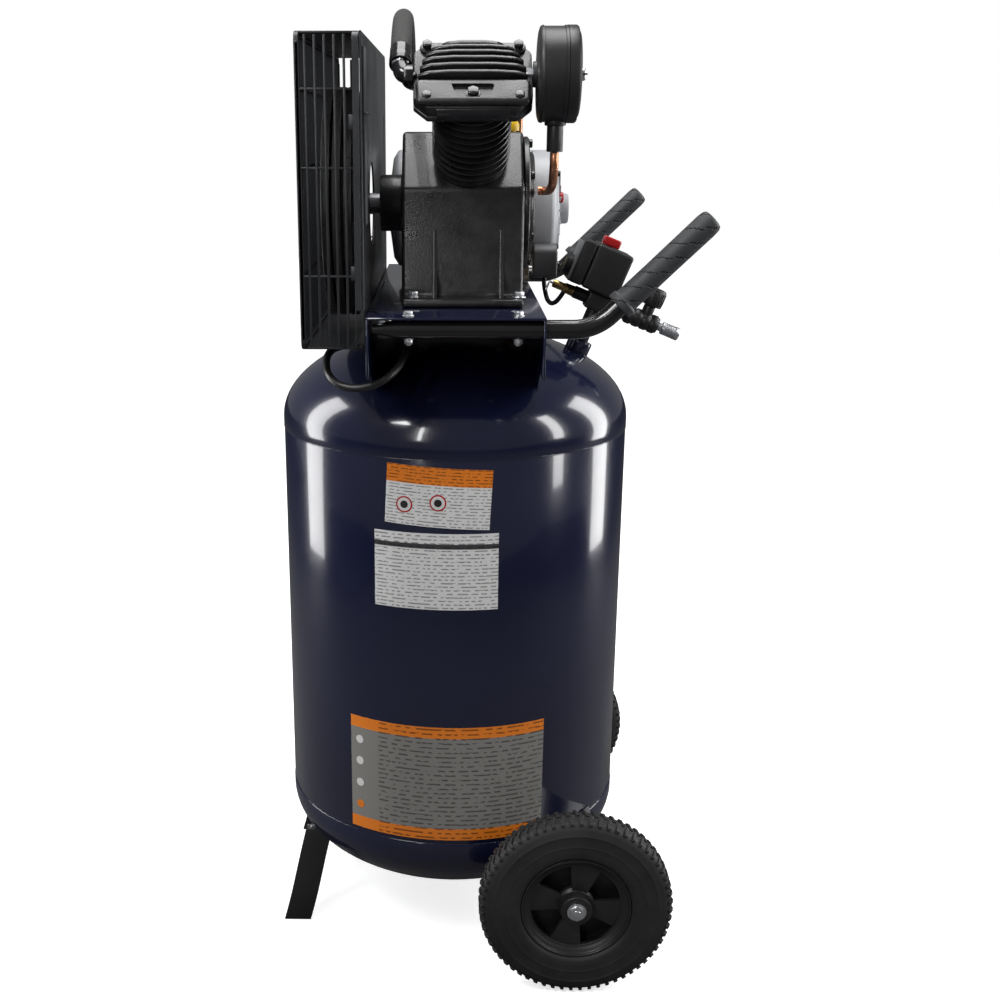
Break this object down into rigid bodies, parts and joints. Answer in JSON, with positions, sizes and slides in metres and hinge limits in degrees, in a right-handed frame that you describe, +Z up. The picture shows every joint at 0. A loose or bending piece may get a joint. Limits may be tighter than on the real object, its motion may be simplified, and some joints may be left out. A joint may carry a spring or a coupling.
{
  "type": "portable air compressor",
  "caption": "Belt-driven V-twin piston air compressor on a vertical receiver tank, with a guarded drive, electric motor, pressure controls, transport handles, wheels and front feet.",
  "frame": {"origin": "middle of the overall box, on the floor", "axes": "+Z up; the crank and motor shafts run along X, with the belt guard at -X and the pressure controls at +X; the wheel axles run along Y"},
  "size_m": [0.5464, 0.625, 1.2287],
  "materials": {
    "tank_paint": "glossy very dark blue paint",
    "black_paint": "gloss black paint",
    "cast_iron": "cast surface under gloss black paint",
    "machined_iron": "machined",
    "piston_alloy": "machined",
    "zinc_steel": "zinc plated",
    "brass": "turned",
    "copper": "drawn copper tube",
    "motor_grey": "satin light grey paint",
    "tyre_rubber": "matte",
    "grip_rubber": "matte",
    "black_plastic": "fine satin texture",
    "cable_jacket": "satin",
    "hose_braid": "braided",
    "red_plastic": "glossy",
    "yellow_plastic": "glossy"
  },
  "bodies": {
    "frame": {"axle_bolt_far": "zinc_steel", "axle_bolt_near": "zinc_steel", "axle_bracket_far": "black_paint", "axle_bracket_near": "black_paint", "bearing_cover": "cast_iron", "belt_guard": "black_plastic", "breather_tube": "copper", "crankcase": "cast_iron", "crossover_hose": "hose_braid", "cylinder_far": "cast_iron", "cylinder_near": "cast_iron", "discharge_elbow_far": "black_paint", "discharge_elbow_near": "black_paint", "discharge_tube": "copper", "drain_valve": "brass", "drive_belt": "tyre_rubber", "filter_base": "black_plastic", "front_foot_far": "black_paint", "front_foot_near": "black_paint", "grip_far": "grip_rubber", "grip_near": "grip_rubber", "guard_back_plate": "black_plastic", "handle_tube_far": "black_paint", "handle_tube_near": "black_paint", "head_far": "cast_iron", "head_near": "cast_iron", "lower_head": "tank_paint", "manifold": "black_plastic", "motor_lead": "cable_jacket", "motor_rear_bell": "motor_grey", "motor_shell": "motor_grey", "pressure_switch": "black_plastic", "regulator": "black_plastic", "saddle": "tank_paint", "safety_valve": "brass", "supply_cable": "cable_jacket", "tank_gauge": "black_plastic", "tank_shell": "tank_paint", "upper_head": "tank_paint"},
    "wheel_near": {"tyre_near": "tyre_rubber", "rim_near": "black_plastic"},
    "wheel_far": {"tyre_far": "tyre_rubber", "rim_far": "black_plastic"},
    "drain_key": {"drain_key": "brass"},
    "oil_cap": {"oil_cap": "yellow_plastic"},
    "crank": {"crankshaft": "machined_iron", "flywheel": "cast_iron"},
    "rod_near": {"rod_near": "piston_alloy"},
    "rod_far": {"rod_far": "piston_alloy"},
    "piston_near": {"piston_near": "piston_alloy"},
    "piston_far": {"piston_far": "piston_alloy"},
    "motor_rotor": {"motor_rotor": "machined_iron", "motor_pulley": "machined_iron"},
    "reset_button": {"reset_button": "red_plastic"},
    "filter_cover": {"filter_cover": "black_plastic"},
    "wing_nut": {"wing_nut": "zinc_steel"},
    "switch_knob": {"switch_knob": "red_plastic"},
    "safety_ring": {"safety_ring": "zinc_steel"},
    "regulator_knob": {"regulator_knob": "black_plastic"},
    "coupler_sleeve": {"coupler_sleeve": "zinc_steel"}
  },
  "joints": [
    {"name": "wheel_near_spin", "type": "hinge", "parent": "frame", "child": "wheel_near", "pos_m": [0.12853, -0.2786, 0.127], "axis": [0, 1, 0], "continuous": true},
    {"name": "wheel_far_spin", "type": "hinge", "parent": "frame", "child": "wheel_far", "pos_m": [0.12853, 0.2786, 0.127], "axis": [0, 1, 0], "continuous": true},
    {"name": "drain_key_turn", "type": "hinge", "parent": "frame", "child": "drain_key", "pos_m": [-0.03147, 0, 0.038], "axis": [0, 1, 0], "range_deg": [0, 90]},
    {"name": "oil_cap_lift", "type": "slide", "parent": "frame", "child": "oil_cap", "axis": [0, 0, 1], "range_m": [0, 0.075]},
    {"name": "crank_spin", "type": "hinge", "parent": "frame", "child": "crank", "pos_m": [-0.03147, -0.115, 1.005], "axis": [1, 0, 0], "continuous": true},
    {"name": "rod_near_turn", "type": "hinge", "parent": "crank", "child": "rod_near", "pos_m": [-0.01547, -0.115, 1.019], "axis": [1, 0, 0], "continuous": true},
    {"name": "rod_far_turn", "type": "hinge", "parent": "crank", "child": "rod_far", "pos_m": [-0.00497, -0.115, 1.019], "axis": [1, 0, 0], "continuous": true},
    {"name": "piston_near_stroke", "type": "slide", "parent": "frame", "child": "piston_near", "axis": [0, -0.7071, 0.7071], "range_m": [-0.014, 0.014]},
    {"name": "piston_far_stroke", "type": "slide", "parent": "frame", "child": "piston_far", "axis": [0, 0.7071, 0.7071], "range_m": [-0.014, 0.014]},
    {"name": "motor_spin", "type": "hinge", "parent": "frame", "child": "motor_rotor", "pos_m": [-0.03147, 0.125, 0.985], "axis": [1, 0, 0], "continuous": true},
    {"name": "reset_button_press", "type": "slide", "parent": "frame", "child": "reset_button", "axis": [-1, 0, 0], "range_m": [0, 0.002], "stiffness_N_per_m": 400},
    {"name": "filter_cover_off", "type": "slide", "parent": "frame", "child": "filter_cover", "axis": [1, 0, 0], "range_m": [0, 0.05]},
    {"name": "wing_nut_turn", "type": "hinge", "parent": "filter_cover", "child": "wing_nut", "pos_m": [0.10453, -0.256, 1.15], "axis": [1, 0, 0], "continuous": true},
    {"name": "switch_knob_pull", "type": "slide", "parent": "frame", "child": "switch_knob", "axis": [0.3746, 0, 0.9272], "range_m": [0, 0.008]},
    {"name": "safety_ring_pull", "type": "slide", "parent": "frame", "child": "safety_ring", "axis": [-0.9272, 0, 0.3746], "range_m": [0, 0.003], "stiffness_N_per_m": 500},
    {"name": "regulator_knob_turn", "type": "hinge", "parent": "frame", "child": "regulator_knob", "pos_m": [0.22212, 0, 0.84571], "axis": [0.3746, 0, 0.9272], "range_deg": [-360, 360]},
    {"name": "coupler_sleeve_back", "type": "slide", "parent": "frame", "child": "coupler_sleeve", "axis": [-0.9272, 0, 0.3746], "range_m": [0, 0.005], "stiffness_N_per_m": 400}
  ],
  "couplings": [
    {"joint": "rod_near_turn", "follows": "crank_spin", "ratio": -1},
    {"joint": "rod_far_turn", "follows": "crank_spin", "ratio": -1},
    {"joint": "motor_spin", "follows": "crank_spin", "ratio": 3.863}
  ]
}
